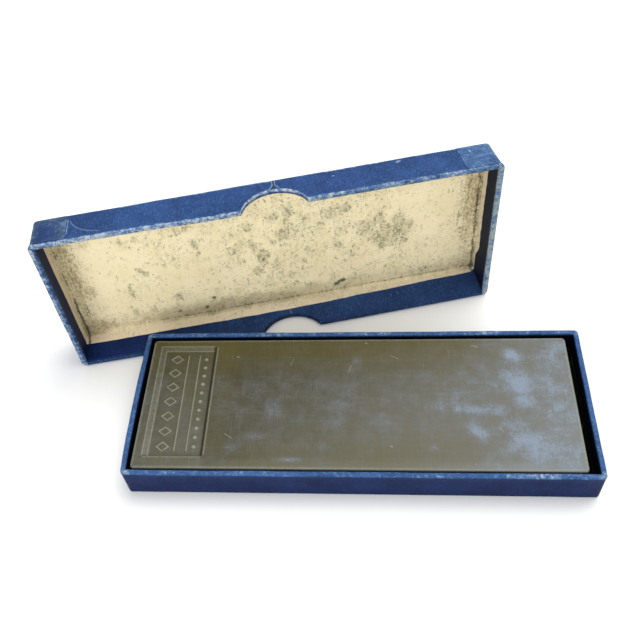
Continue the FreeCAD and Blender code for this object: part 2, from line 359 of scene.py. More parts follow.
def hone_stone():
    """Fine dense olive-grey stone, darkened by oil, with a pale skin of dry slurry on it, a painted bluish
    reflection that brightens it towards the right, and painted light and shadow on its recess's bevels.
    """
    p = Paint("hone_stone")
    place = p.attribute("place", "Vector")
    pale, olive, residue_and_sheen = p.masks("pale", "olive", "residue_and_sheen")
    edge, raised, painted_bevel_shadow = p.masks("edge", "raised", "painted_bevel_shadow")
    cloud = p.noise(place, 0.05, 4.0, 0.6, 0.4)
    blotch = p.noise(place, 0.2, 5.0, 0.66, 0.4)
    grain = p.noise(place, 3.5, 4.0, 0.7)
    speckle = p.noise(place, 1.1, 5.0, 0.7)
    rub_along = p.noise(p.stretch(place, (0.08, 3.2, 1.0)), 1.0, 4.0, 0.7)
    rub_across = p.noise(p.stretch(place, (2.6, 0.1, 1.0)), 1.0, 4.0, 0.7)
    nick = p.cells(p.stretch(place, (0.12, 0.3, 0.3)), 1.0)

    level = p.add(pale, p.swing(blotch, 0.22))
    colour = p.mix(p.rise(level, 0.0, 0.55), srgb(57, 54, 34), srgb(90, 88, 74))
    colour = p.mix(p.rise(level, 0.45, 1.0), colour, srgb(124, 131, 132))
    colour = p.tint(colour, olive, 0.8, 80, 73, 32)
    colour = p.tint(colour, p.rise(cloud, 0.48, 0.7), 0.25, 86, 80, 54)
    patchy = p.add(p.swing(blotch, 1.5), p.swing(speckle, 1.0))
    patchy = p.add(patchy, p.times(p.add(p.minus(rub_along, 0.5), p.minus(rub_across, 0.5)), 0.5))
    # this mask also carries painted reflection, bluish and strongest towards the right
    film_and_sheen = p.rise(p.add(residue_and_sheen, p.times(patchy, p.add(0.4, p.times(residue_and_sheen, 0.7)))), 0.0, 1.5)
    film_and_sheen_colour = p.mix(p.rise(film_and_sheen, 0.25, 0.8), srgb(106, 114, 128), srgb(124, 140, 160))
    colour = p.mix(p.times(film_and_sheen, 0.76), colour, film_and_sheen_colour)
    colour = p.tint(colour, p.rise(rub_along, 0.54, 0.75), 0.12, 150, 152, 148)
    colour = p.tint(colour, p.rise(rub_across, 0.54, 0.76), 0.11, 150, 154, 158)
    colour = p.tint(colour, p.rise(nick, 0.035, 0.012), 0.8, 184, 184, 160)
    # pale worn edges, and painted highlights where the edge mask carries the recess's bevels
    worn = p.rise(p.add(edge, p.swing(speckle, 0.8)), 0.15, 1.05)
    colour = p.tint(colour, worn, 0.6, 146, 148, 134)
    chalk = p.rise(p.add(raised, p.swing(speckle, 0.9)), 0.3, 1.6)
    colour = p.tint(colour, chalk, 0.66, 146, 147, 130)
    # painted shadow on the recess's steep bevels
    colour = p.tint(colour, painted_bevel_shadow, 0.85, 30, 27, 18)
    colour = p.tint(colour, p.rise(grain, 0.5, 0.75), 0.12, 50, 46, 32)
    axes = p.split(place)
    wobble = p.swing(speckle, 0.5)
    scratch = p.times(strokes(p, axes[0], axes[1], STONE_SCRATCHES, wobble), p.rise(axes[2], 14.0, 14.3))
    colour = p.tint(colour, scratch, 0.4, 176, 180, 170)
    p.bump(p.add(p.times(grain, 0.5), p.add(p.times(rub_along, 0.3), p.times(scratch, -0.6))), 0.35, 0.06)
    return p.finish(colour, p.add(0.46, p.add(p.times(film_and_sheen, 0.15), p.swing(blotch, 0.25))), 0.22)


def pale_floor():
    """Plain matt studio floor."""
    p = Paint("pale_floor")
    position = p.tree.nodes.new("ShaderNodeNewGeometry").outputs["Position"]
    soft = p.noise(position, 3.0, 2.0, 0.5)
    return p.finish(p.mix(soft, (0.86, 0.86, 0.855), (0.89, 0.89, 0.885)), 0.9)


# --- Mesh building ---
def wavy(point, size, seed):
    """Smooth noise between -1 and 1 that changes over about `size` millimetres."""
    return noise.noise(Vector(point) / size + Vector((seed * 7.3, seed * 3.1, seed * 5.7)))


def smooth(value, low, high):
    """0 to 1, smoothly, as value goes from low to high."""
    t = min(1.0, max(0.0, (value - low) / (high - low)))
    return t * t * (3 - 2 * t)


def fall(distance, reach):
    """1 at no distance, dying away over the reach."""
    return exp(-max(0.0, distance) / reach)


def bell(*offsets):
    """1 in the middle of a soft spot, dying away with each offset, in half widths."""
    return exp(-sum(offset ** 2 for offset in offsets))


def spaced(low, high, step, extra=()):
    """Evenly spaced numbers from low to high, with some extra ones put in."""
    count = max(2, int(round((high - low) / step)) + 1)
    numbers = set(np.round(np.linspace(low, high, count), 4).tolist())
    numbers.update(round(float(e), 4) for e in extra if low < e < high)
    return sorted(numbers)


def quarter_turn(count):
    """Angles from 0 to 90 degrees in equal steps."""
    return [pi / 2 * i / count for i in range(count + 1)]


def gather(masks, values):
    """Adds one point's values to the lists of the masks."""
    for mask, value in values.items():
        masks.setdefault(mask, []).append(value)


def thicken(piece, thickness):
    """Gives a sheet its thickness, towards its back."""
    solid = piece.modifiers.new("thickness", "SOLIDIFY")
    solid.thickness = thickness
    solid.offset = -1.0
    solid.use_even_offset = False
    bpy.context.view_layer.update()
    graph = bpy.context.evaluated_depsgraph_get()
    made = bpy.data.meshes.new_from_object(piece.evaluated_get(graph), depsgraph=graph,
                                           preserve_all_data_layers=True)
    piece.modifiers.clear()
    piece.data = made


def make_piece(node, verts, faces, masks, place, material, body, thickness=0.0, rounded=True):
    """Builds the mesh that stands for a CAD node, from local millimetres, in the row frame."""
    mesh = bpy.data.meshes.new(node)
    mesh.from_pydata([tuple(v) for v in verts], [], faces)
    mesh.update()
    attribute = mesh.attributes.new("place", "FLOAT_VECTOR", "POINT")
    attribute.data.foreach_set("vector", np.array(verts, np.float32).ravel())
    for mask, values in masks.items():
        layer = mesh.attributes.new(mask, "FLOAT", "POINT")
        layer.data.foreach_set("value", np.array(values, np.float32))
    piece = bpy.data.objects.new(node, mesh)
    bpy.context.scene.collection.objects.link(piece)
    editing = bmesh.new()
    editing.from_mesh(mesh)
    bmesh.ops.remove_doubles(editing, verts=editing.verts, dist=WELD)
    bmesh.ops.dissolve_degenerate(editing, edges=editing.edges, dist=0.002)
    editing.to_mesh(mesh)
    editing.free()
    if thickness:
        thicken(piece, thickness)
    moved = np.array([place(v.co) for v in piece.data.vertices])
    moved[:, 2] = np.maximum(moved[:, 2], 0.0)
    piece.data.vertices.foreach_set("co", moved.astype(np.float32).ravel())
    piece.data.update()
    if rounded:
        piece.data.shade_smooth()
        piece.data.set_sharp_from_angle(angle=SHARP)
    piece.data.materials.clear()
    piece.data.materials.append(material)
    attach(piece, body)
    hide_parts(node)
    return piece


class Box:
    """A paper-covered board box in its own frame, in millimetres: x along it, y across it, and
    z from the closed side's outer face (0) to the rim.  Its long walls are near (-y) and far (+y)."""

    def __init__(self, prefix, long_names, axes, radius, notched, materials):
        self.prefix, self.radius, self.notched = prefix, radius, notched
        self.near_name, self.far_name = long_names
        self.paper, self.cream, self.board, self.tape = materials
        self.axes = np.array(axes, float)
        names = frame["record"]["behaviour"]["bodies"][prefix]
        points = np.array([v.co for n in names for v in frame["nodes"][n].data.vertices]) / MM
        local = points @ self.axes.T
        low, high = local.min(0), local.max(0)
        self.origin = np.array([(low[0] + high[0]) / 2, (low[1] + high[1]) / 2, low[2]])
        self.length, self.width, self.height = high - low
        self.hx, self.hy = self.length / 2, self.width / 2
        lining = np.array([v.co for v in frame["nodes"][prefix + "_lining"].data.vertices]) / MM
        self.lining_top = (lining @ self.axes.T - self.origin)[:, 2].max()

    def local(self, world):
        """Row-frame metres to local millimetres."""
        return self.axes @ (np.array(world) / MM) - self.origin

    def place(self, point):
        """Local millimetres, warped, to row-frame metres."""
        bent = np.array(self.warp(*point))
        return (self.axes.T @ (bent + self.origin)) * MM

    def warp(self, x, y, z):
        return x, y, z

    # --- outline ---
    def rim_height(self, wall, x):
        """Height of a wall's rim at x, lower inside its thumb notch."""
        if not (self.notched and wall in NOTCH):
            return self.height
        radius, depth = NOTCH[wall]
        off = abs(x - NOTCH_SHIFT)
        if off >= radius:
            return self.height
        return min(self.height, self.height + radius - depth - sqrt(radius ** 2 - off ** 2))

    def walk(self, step):
        """The columns of mesh round the box: (wall, place along it) or (corner, angle)."""
        hx, hy = self.hx, self.hy
        walls = {}
        for wall in ("near", "far"):
            extra = [side * (hx - TAB) for side in (-1, 1)]
            if self.notched:
                radius, depth = NOTCH[wall]
                reach = acos((radius - depth) / radius)
                extra += [NOTCH_SHIFT + radius * sin(reach * i / 14) for i in range(-14, 15)]
            walls[wall] = spaced(-(hx - self.radius), hx - self.radius, step, extra)
        ys = spaced(-(hy - self.radius), hy - self.radius, step)
        turn = quarter_turn(6)[1:-1]
        columns = [("near", x) for x in walls["near"]] + [((1, -1), t) for t in turn]
        columns += [("right", y) for y in ys] + [((1, 1), t) for t in turn]
        columns += [("far", x) for x in walls["far"][::-1]] + [((-1, 1), t) for t in turn]
        return columns + [("left", y) for y in ys[::-1]] + [((-1, -1), t) for t in turn]

    def point(self, column, inset):
        """(x, y) of a column of the walk, moved in from the outer face."""
        kind, t = column
        hx, hy, r = self.hx, self.hy, self.radius
        deep = max(r, inset)
        if kind in ("near", "far"):
            return max(deep - hx, min(hx - deep, t)), (inset - hy) * (1 if kind == "near" else -1)
        if kind in ("left", "right"):
            return (inset - hx) * (1 if kind == "left" else -1), max(deep - hy, min(hy - deep, t))
        side_x, side_y = kind
        turn = t if side_x == side_y else pi / 2 - t
        bend = max(r - inset, 0.0)
        return side_x * (hx - deep + bend * cos(turn)), side_y * (hy - deep + bend * sin(turn))

    # --- covering papers ---
    def profile(self, column):
        """Rows of the covering at a column, from the bottom edge up the outside, over the rim and
        down the inside: (inset, z, part)."""
        kind, t = column
        top = self.rim_height(kind, t)
        turn = quarter_turn(4)
        rows = [(BOTTOM_EDGE * (1 - sin(a)), BOTTOM_EDGE * (1 - cos(a)), "out") for a in turn]
        count = int(self.height / WALL_ROW)
        wall_height = top - RIM_OUTER - BOTTOM_EDGE
        rows += [(0.0, BOTTOM_EDGE + wall_height * i / count, "out") for i in range(1, count)]
        for a in turn:
            rows.append((RIM_OUTER * (1 - cos(a)), top - RIM_OUTER * (1 - sin(a)), "rim"))
        rows.append((WALL / 2, top + 0.05, "rim"))
        for a in turn[::-1]:
            rows.append((WALL - RIM_INNER * (1 - cos(a)), top - RIM_INNER * (1 - sin(a)), "rim"))
        start = top - RIM_INNER
        edge = self.lining_edge(column) - 1.2
        rows += [(WALL, start + (edge - start) * i / 9, "in") for i in range(1, 10)]
        return rows

    def lining_edge(self, column):
        """Height of the lining paper's cut edge, which covers the turned-in wrap."""
        x, y = self.point(column, WALL)
        return self.lining_top + 0.2 * wavy((x, y, 0), 9.0, 13)

    def wrap(self, side):
        """One of the four wraps.  Ends own the corners and the tabs, long sides the rest."""
        node = "%s_wrap_%s" % (self.prefix, side)
        end = side in ("left", "right")
        sign = -1 if side in ("left", self.near_name) else 1
        columns = self.walk(STEP)
        rows = [self.profile(column) for column in columns]
        verts, faces, index = [], [], {}
        masks = {}

        def owned(column, part):
            kind, t = column
            x, y = self.point(column, 0.0)
            limit = self.hx - (TAB if part == "out" else self.radius)
            on_long = kind in ("near", "far")
            if end:
                return x * sign > 0 and (not on_long or abs(x) > limit - 0.001)
            return on_long and y * sign > 0 and abs(x) < limit + 0.001

        def vertex(k, j):
            if (k, j) in index:
                return index[k, j]
            column = columns[k]
            inset, z, part = rows[k][j]
            top = self.rim_height(*column)
            swell = self.swell(side) * bell((top - z - 0.8) / 1.3)
            share = 2 * inset / WALL - 1
            proud = self.tab_proud * smooth(self.height - z, 0.4, 2.4) if end and part == "out" else 0.0
            x, y = self.point(column, inset - proud + swell * share)
            verts.append((x, y, z))
            gather(masks, self.masks(column, side, part, x, y, z, top - z))
            index[k, j] = len(verts) - 1
            return index[k, j]

        for k in range(len(columns)):
            after = (k + 1) % len(columns)
            for j in range(len(rows[k]) - 1):
                part = "out" if rows[k][j + 1][2] == "out" else "rim"
                if owned(columns[k], part) and owned(columns[after], part):
                    faces.append((vertex(k, j), vertex(after, j), vertex(after, j + 1), vertex(k, j + 1)))
        return make_piece(node, verts, faces, masks, self.place, self.paper, self.prefix, SHEET)

    def masks(self, column, side, part, x, y, z, from_rim):
        """Wear, fading, dirt and painted shade of the covering paper at a point."""
        hx, hy = self.hx, self.hy
        patch = 0.5 + 0.5 * wavy((x, y, z), 7.0, 1)
        at_corner = smooth(3.0 - hypot(hx - abs(x), hy - abs(y)), 0.0, 3.0) if part == "out" else 0.0
        if part == "rim":
            wear = 0.55 + 0.3 * patch
        elif part == "out":
            wear = (0.5 + 0.4 * patch) * fall(from_rim - RIM_OUTER, 0.4 + 0.9 * patch)
            wear = max(wear, (0.4 + 0.4 * patch) * fall(z - 0.4, 0.5))
        else:
            wear = 0.0
        wear = max(wear, at_corner * (0.5 + 0.4 * patch))
        outside = 1.0 if part == "out" else 0.0
        values = {"wear": wear, "fade": 0.3, "grime": 0.1, "soot": 0.0, "along": x + hx,
                  "down": self.height - z, "upper_face": 0.0, "lower_face": 0.0}
        self.age(values, side, part, x, y, z, from_rim, patch, outside)
        return values

    def base_paper(self):
        """Paper over the closed side."""
        node = self.prefix + "_base_paper"
        inset = BOTTOM_EDGE - 0.05
        hx, hy = self.hx, self.hy
        reach = self.radius - inset
        xs = spaced(inset - hx, hx - inset, 2.0)
        ys = spaced(inset - hy, hy - inset, 2.0)
        verts = []
        masks = {"wear": [], "fade": [], "grime": []}
        for y in ys:
            for x in xs:
                # the corners follow the rounded outline
                dx, dy = abs(x) - hx + self.radius, abs(y) - hy + self.radius
                far = hypot(dx, dy)
                px, py = x, y
                if dx > 0 and dy > 0 and far > reach:
                    px = copysign(hx - self.radius + dx * reach / far, x)
                    py = copysign(hy - self.radius + dy * reach / far, y)
                verts.append((px, py, 0.0))
                patch = 0.5 + 0.5 * wavy((x, y, 0), 14.0, 2)
                from_edge = min(hx - abs(x), hy - abs(y))
                masks["wear"].append((0.4 + 0.35 * patch) * fall(from_edge - 0.5, 1.2) + 0.12 * patch)
                masks["fade"].append(self.base_fade + 0.25 * patch)
                masks["grime"].append(0.3 * (1 - patch))
        n = len(xs)
        faces = [(r * n + c, (r + 1) * n + c, (r + 1) * n + c + 1, r * n + c + 1)
                 for r in range(len(ys) - 1) for c in range(n - 1)]
        return make_piece(node, verts, faces, masks, self.place, self.paper, self.prefix, SHEET)

    # --- lining, board and tape ---
    def lining(self, crease):
        """Lining paper over the inside of the closed side, turned up the walls to a cut edge."""
        floor_z = WALL + 0.02
        columns = self.walk(FINE_STEP)
        verts, faces, on_wall = [], [], []
        for column in columns:
            edge, foot = self.lining_edge(column), floor_z + crease
            rows = [(WALL + 0.04 + 0.02 * i, edge + (foot - edge) * i / 5) for i in range(6)]
            for a in quarter_turn(5)[1:]:
                rows.append((WALL + 0.14 + crease * (1 - cos(a)), floor_z + crease * (1 - sin(a))))
            # a shallow ridge where the paper was pressed into the corner with a bone folder
            start = WALL + 0.14 + crease + 0.8
            rows += [(start - 0.45, floor_z + 0.14), (start, floor_z + 0.02)]
            flat = self.hy - start - 0.0005
            count = int(flat / FINE_STEP)
            rows += [(start + flat * i / count, floor_z) for i in range(1, count + 1)]
            for inset, z in rows:
                x, y = self.point(column, inset)
                inner = min(self.hx - abs(x), self.hy - abs(y)) - WALL
                loose = smooth(inner, 2.0, 7.0)
                lift = 0.10 + 0.12 * wavy((x, y, 0), 20.0, 11) + 0.05 * wavy((x, y, 0), 5.0, 12)
                verts.append((x, y, z + loose * lift))
                on_wall.append(smooth(z, floor_z + 0.5 * crease, floor_z + crease + 0.3))
        n, m = len(columns), len(rows)
        for k in range(n):
            after = (k + 1) % n
            for j in range(m - 1):
                faces.append((k * m + j, after * m + j, after * m + j + 1, k * m + j + 1))
        masks = {}
        for point, share in zip(verts, on_wall):
            gather(masks, self.soil(*point, share))
        return make_piece(self.prefix + "_lining", verts, faces, masks, self.place, self.cream,
                          self.prefix, SHEET)

    def reshaped(self, node, material):
        """A copy of a hidden CAD piece, cut into short lengths so that it follows the warp."""
        mesh = frame["nodes"][node].data.copy()
        points = np.array([self.local(v.co) for v in mesh.vertices])
        mesh.vertices.foreach_set("co", points.astype(np.float32).ravel())
        editing = bmesh.new()
        editing.from_mesh(mesh)
        bmesh.ops.remove_doubles(editing, verts=editing.verts, dist=0.002)
        for axis, step in ((0, 6.0), (1, 6.0), (2, 4.0)):
            low, high = points[:, axis].min(), points[:, axis].max()
            normal = [float(i == axis) for i in range(3)]
            for cut in np.arange(low + step, high - 0.5 * step, step):
                at = [cut * n for n in normal]
                everything = editing.verts[:] + editing.edges[:] + editing.faces[:]
                bmesh.ops.bisect_plane(editing, geom=everything, plane_co=at, plane_no=normal, dist=1e-4)
        editing.to_mesh(mesh)
        editing.free()
        verts = [tuple(v.co) for v in mesh.vertices]
        faces = [tuple(f.vertices) for f in mesh.polygons]
        bpy.data.meshes.remove(mesh)
        return make_piece(node, verts, faces, {}, self.place, material, self.prefix, rounded=False)

    def build(self):
        for side in ("left", "right", self.near_name, self.far_name):
            self.wrap(side)
        self.base_paper()
        self.lining(self.crease)
        self.reshaped(self.prefix + "_board", self.board)
        for i in range(1, 5):
            self.reshaped("%s_corner_stay_%d" % (self.prefix, i), self.tape)


class Tray(Box):
    """The tray's left end wall bows out a little, and all its walls are slightly uneven."""
    base_fade = 0.15
    crease = 0.5
    tab_proud = 0.04

    def swell(self, side):
        return 0.12

    def warp(self, x, y, z):
        rise = z / self.height
        across = max(0.0, 1 - (y / self.hy) ** 2)
        at_left = max(0.0, -x / self.hx - 0.9) / 0.1
        near_rim = max(0.0, rise - 0.3)
        ripple = (0.20 * wavy((x, y, 0), 14.0, 5) + 0.08 * wavy((x, y, z), 4.0, 8)) * near_rim
        return (x - 0.75 * at_left * rise * across + ripple, y + ripple,
                z + 0.16 * near_rim * wavy((x, y, 0), 18.0, 7))

    def age(self, values, side, part, x, y, z, from_rim, patch, outside):
        rubbed = max(0.0, wavy((x, y, 0), 22.0, 9))
        if part == "rim":
            corner = smooth(5.0 - hypot(self.hx - abs(x), self.hy - abs(y)), 0.0, 4.0)
            end = 0.08 if side in ("left", "right") else 0.0
            values.update(wear=0.17 + 0.36 * patch + 0.65 * rubbed + 0.45 * corner - end, fade=0.72,
                          grime=0.1 + 0.5 * corner)
        elif part == "in":
            # inner faces: unfaded paper, taken to near black by painted shade
            values.update(fade=0.0, soot=1.0)
        else:
            upright = smooth(3.0 - hypot(self.hx - abs(x), self.hy - abs(y)), 0.0, 2.5)
            values.update(wear=values["wear"] * (0.45 + 0.5 * rubbed + 0.35 * upright),
                          fade=0.02 + 0.2 * fall(from_rim, 2.0))
            # painted shade on the outer faces, more on the near one
            values["soot"] = 0.36 if y < 0 else 0.1

    def soil(self, x, y, z, on_wall):
        from_end = self.hx - abs(x) - WALL
        # towards the end walls the lining is painted darker, and near black within about 4 mm of them:
        # painted shade in the gaps beside the stone
        return {"mould": 0.2 + 0.6 * max(0.0, wavy((x, y, 0), 22.0, 31)),
                "grime": 0.25 + 0.5 * fall(from_end, 6.0) + 0.3 * wavy((x, y, 0), 30.0, 32),
                "brown": 0.4 * fall(from_end, 9.0), "dark": 1.9 * fall(from_end - 4.0, 1.2), "clean": 0.0}


class Lid(Box):
    """The old lid has relaxed: it leans back, its upper wall opens at the ends and sags between."""
    base_fade = 0.45
    crease = 1.1
    tab_proud = 0.14

    # mould spots: along the lid, height above the lower wall's outer face, half sizes, strength
    SPOTS = [
        (35.6, 37.8, 1.6, 1.4, 1.3), (38, 35.1, 1.4, 1.4, 1.6), (28.9, 29.3, 1.2, 2.4, 1.2),
        (28.9, 24.4, 1.3, 2.2, 1.7), (42.7, 31.7, 1.6, 2, 0.8), (49.1, 17.7, 1.7, 2.4, 1.3),
        (62.2, 48.2, 1.4, 3.2, 1.2), (62.8, 42, 0.9, 2.5, 1.0), (77, 39, 4, 4, 0.6), (85.5, 52, 2.2, 2, 1.0),
        (86.4, 41, 1.4, 3.6, 1.1), (90, 33, 1.7, 3.4, 1.9), (91.5, 35.5, 1.6, 1.8, 1.5),
        (86.5, 24.5, 1.3, 2.2, 1.1), (101, 44.5, 3.6, 3.6, 1.0), (97.5, 55.6, 1.4, 1.4, 1.2),
        (104, 56.6, 2, 1.3, 1.2), (103, 53, 1.2, 1, 1.2), (108.7, 26.5, 1.2, 2, 1.1),
        (111, 51.5, 1.4, 2.2, 1.0), (122, 53, 3.2, 3, 1.1), (129.4, 53.2, 1.6, 2.2, 1.4),
        (125, 32.5, 1.6, 2, 0.9), (131, 25, 1.2, 1.6, 1.0), (144, 45, 2.6, 2.4, 1.1), (138, 41, 4, 4, 0.8),
        (146, 34, 8, 5.5, 0.95), (148, 29.4, 2.8, 2.2, 1.5), (144.8, 27, 1.4, 1.4, 1.5),
        (155, 28.4, 2, 1.6, 1.3), (152.5, 43.5, 2.6, 3.4, 0.9), (154, 37, 5, 5, 0.8),
        (28, 11.5, 1.3, 2.6, 1.2), (36.5, 11, 2, 2, 0.9), (48, 7.8, 1.2, 1.1, 1.6), (68, 7.8, 1.7, 1.5, 1.6),
        (104, 12.5, 2, 1.6, 0.9), (109, 10, 1.5, 1.8, 0.9), (146, 13, 1.6, 1.6, 0.8), (164, 7, 3, 1.8, 1.3),
        (31, 56.5, 2.4, 2.2, 1.0), (38, 56.6, 1.4, 1.6, 1.0), (15.5, 58.5, 3, 3, 1.0),
        (57, 57.5, 6, 2.6, 0.7), (141, 62, 3, 3, 0.6), (182, 28, 2, 3, 1.0)]
    # small dense blots, near black
    BLOTS = [
        (64.8, 12.6, 1.2, 1.2), (60.7, 7.0, 1.2, 1.1), (48.0, 7.4, 1.0, 1.0), (122.6, 7.2, 1.5, 1.2),
        (125.6, 9.0, 2.2, 1.3), (90.4, 31.5, 0.9, 1.2)]

    def swell(self, side):
        return {"left": 0.5, "right": 0.45, "upper": 0.22, "lower": 0.05}[side]

    def warp(self, x, y, z):
        up = (y + self.hy) / self.width
        out = z / self.height
        share = x / self.hx
        sag = bell((x + 20.0) / 26.0)
        lift = LID_SPLAY * out * up - LID_SAG * sag * out * up ** 6
        bow = 0.8 * (1 - share * share) * out * (1 - up) ** 2
        ripple = 0.12 * wavy((x, y, z), 16.0, 5) + 0.05 * wavy((x, y, z), 4.0, 8)
        off_floor = min(1.0, max(0.0, (y + self.hy) / 2.0))
        return (x + 0.1 * wavy((x, y, z), 20.0, 2), y + lift + ripple * off_floor,
                z - LID_LEAN * self.width * up + bow + 0.06 * wavy((x, y, z), 12.0, 3))

    def lining_edge(self, column):
        """The cut edge runs down to the right on the lower wall, and is torn off low on the right."""
        x, y = self.point(column, WALL)
        hx, hy = self.hx, self.hy
        edge = self.lining_top + 0.3 + 0.25 * wavy((x, y, 0), 9.0, 13) + 0.12 * wavy((x, y, 0), 2.5, 14)
        lower = smooth(-y, hy - 3.0, hy - WALL - 0.1)
        edge += lower * (0.6 - 2.9 * smooth(x, -10.0, hx + 10.0))
        if x > hx - WALL - 0.6:
            torn = smooth(y + hy, 10.5, 20.0) * (1 + 0.15 * wavy((x, y, 0), 2.0, 16))
            edge = WALL + 1.5 + (edge - WALL - 1.5) * torn
        return edge

    def age(self, values, side, part, x, y, z, from_rim, patch, outside):
        along = values["along"]
        in_notch = self.height - z - from_rim > 0.5
        flaky = 0.5 + 0.5 * wavy((x, y, z), 3.0, 19)
        wear, fade, grime, soot = values["wear"], values["fade"], values["grime"], 0.0
        if part == "in":
            wear = 0.0
            to_right = 0.55 * smooth(x, -80.0, 10.0) * (0.7 + 0.3 * wavy((x, 0, z), 20.0, 4))
            fade = 0.05 if side == "upper" else to_right
            # painted shade on the inner faces: deepest on the right one, none on the lower one
            soot = {"left": 0.38, "right": 0.9, "upper": 0.6, "lower": 0.0}[side]
            if side == "right":
                wear = 0.75 * flaky * fall(from_rim, 1.0 + 1.8 * patch)
        elif side == "upper":
            fade = 0.42 + 0.12 * wavy((x, y, z), 40.0, 3)
            reach = 0.25 if in_notch else 0.5 + 0.7 * patch
            if part == "out":
                at_panel = (0.7 + 0.5 * wavy((x, 0, 0), 12.0, 18)) * fall(z - 0.5, 0.8)
                wear = max((0.62 + 0.3 * patch) * fall(from_rim - 0.9, reach), at_panel)
                wear = max(wear, 0.62 * patch * fall(abs(along - 80.0) - 6.0, 3.0) * fall(z, 1.4))
            else:
                wear = 0.86 + 0.34 * wavy((x, y, 0), 9.0, 17) - (0.14 if along > 112 else 0.0)
                if in_notch:
                    inner = smooth(self.near_middle(x, y, z), 0.2, 0.6)
                    # painted shadow along the inner edge of the notch
                    wear, soot = 0.82 + 0.1 * patch - 0.35 * inner, 0.3 * inner
                grime = 0.2 + 0.25 * patch + (0.2 if along > 112 else 0.0)
        elif side == "lower":
            fade = 0.3 if part == "out" else 0.35
            if part == "rim":
                wear = 0.15 + 0.3 * patch
                # painted shade on the lower wall's rim, more inside its notch
                soot = 0.55 if in_notch else 0.25
        elif side == "left":
            on_tab = smooth(y, self.hy - 1.5, self.hy - 0.1)
            from_side = min(along, TAB - along, z * 0.8)
            fade = 0.22 if part == "out" else 0.2
            grime = 0.35 + 0.5 * on_tab * fall(from_side, 3.0) if part == "out" else 0.45
            rubbed = 0.16 + 0.1 * patch + on_tab * (0.3 + 0.3 * patch) * fall(from_side, 1.8)
            wear = max(wear, rubbed) if part == "out" else 0.5 + 0.6 * flaky
            if part == "rim" and self.near_middle(x, y, z) > 0.55:
                wear *= 0.65
        else:
            fade = 0.75 if part == "out" else 0.4
            grime = 0.45 if part == "out" else 0.85
            wear = max(wear, 0.36 + 0.22 * patch) if part == "out" else 0.72 + 0.4 * flaky
        values.update(wear=wear, fade=fade, grime=grime, soot=soot)
        values["upper_face"] = outside if y > 0 else 0.0
        values["lower_face"] = 1.0 if part == "in" and y < 0 else 0.0

    def near_middle(self, x, y, z):
        """Share of the way from a wall's outer face to its inner one."""
        return min(1.0, min(self.hx - abs(x), self.hy - abs(y)) / WALL)

    def soil(self, x, y, z, on_wall):
        """Mould, stains, darkening along the lower wall and towards the ends, and painted crease shade of
        the lining at a point.
        """
        a, c = x + self.hx, y + self.hy
        left, right = a - WALL, self.length - WALL - a
        flat = 1 - on_wall
        mould = 0.3 + 0.35 * smooth(a, 20.0, 65.0) * smooth(174.0 - a, 0.0, 20.0)
        mould += 0.3 * wavy((a, c, 0), 26.0, 21) + 0.4 * wavy((a, c, 0), 5.0, 22)
        for at, up, half_a, half_c, strength in self.SPOTS:
            mould += 1.2 * strength * bell((a - at) / half_a, (c - up) / half_c)
        dark = 0.0
        for at, up, half_a, half_c in self.BLOTS:
            dark += 1.5 * flat * bell((a - at) / half_a, (c - up) / half_c)
        # painted shade in the creases: along the left wall mostly low down, along the right one all the way
        stray = 0.35 * wavy((0, c, 0), 6.0, 23)
        dark += (0.68 + 0.45 * smooth(34.0 - c, 0.0, 14.0)) * bell((left - 1.5 - stray) / 0.8)
        dark += 0.9 * bell((right - 1.3 + stray) / 1.2)
        dark += 0.7 * bell((a - 180.0) / 1.4, (c - 37.0) / 6.0)
        dark += 0.7 * bell((a - 7.6) / 1.3, (c - 20.0) / 5.0)
        # painted shade in a line along the crease by the lower wall
        along_low = abs(c - 3.5 + 0.3 * wavy((a, 0, 0), 9.0, 24))
        dark += 0.62 * fall(along_low - 0.3, 0.5) * smooth(a, 15.0, 45.0) * flat
        brown = bell((a - 7.0) / 5.0) * (0.58 + 0.3 * smooth(c, 14.0, 40.0))
        brown += 0.7 * bell((a - 12.8) / 2.0, (c - 30.0) / 4.0)
        brown += 0.5 * bell((a - 54.0) / 11.0, (c - 60.0) / 4.0)
        brown += 0.7 * bell((a - 15.0) / 6.0, (c - 7.0) / 4.0)
        brown += (0.5 + 0.45 * smooth(c, 20.0, 50.0)) * fall(right - 6.0, 4.0)
        # darker along the lower wall and towards the end walls
        low = bell((c - 4.5) / 7.5) * (0.46 + 0.3 * smooth(a, 15.0, 50.0) * smooth(130.0 - a, 0.0, 40.0))
        grime = low + 0.45 * fall(left, 6.0) + 0.5 * fall(right, 6.0)
        turned_up = (0.02 + 0.26 * smooth(a, 60.0, 130.0)) * on_wall
        return {"mould": mould * (1 - 0.25 * on_wall), "grime": grime * flat + turned_up,
                "brown": brown * flat, "dark": dark, "clean": on_wall}


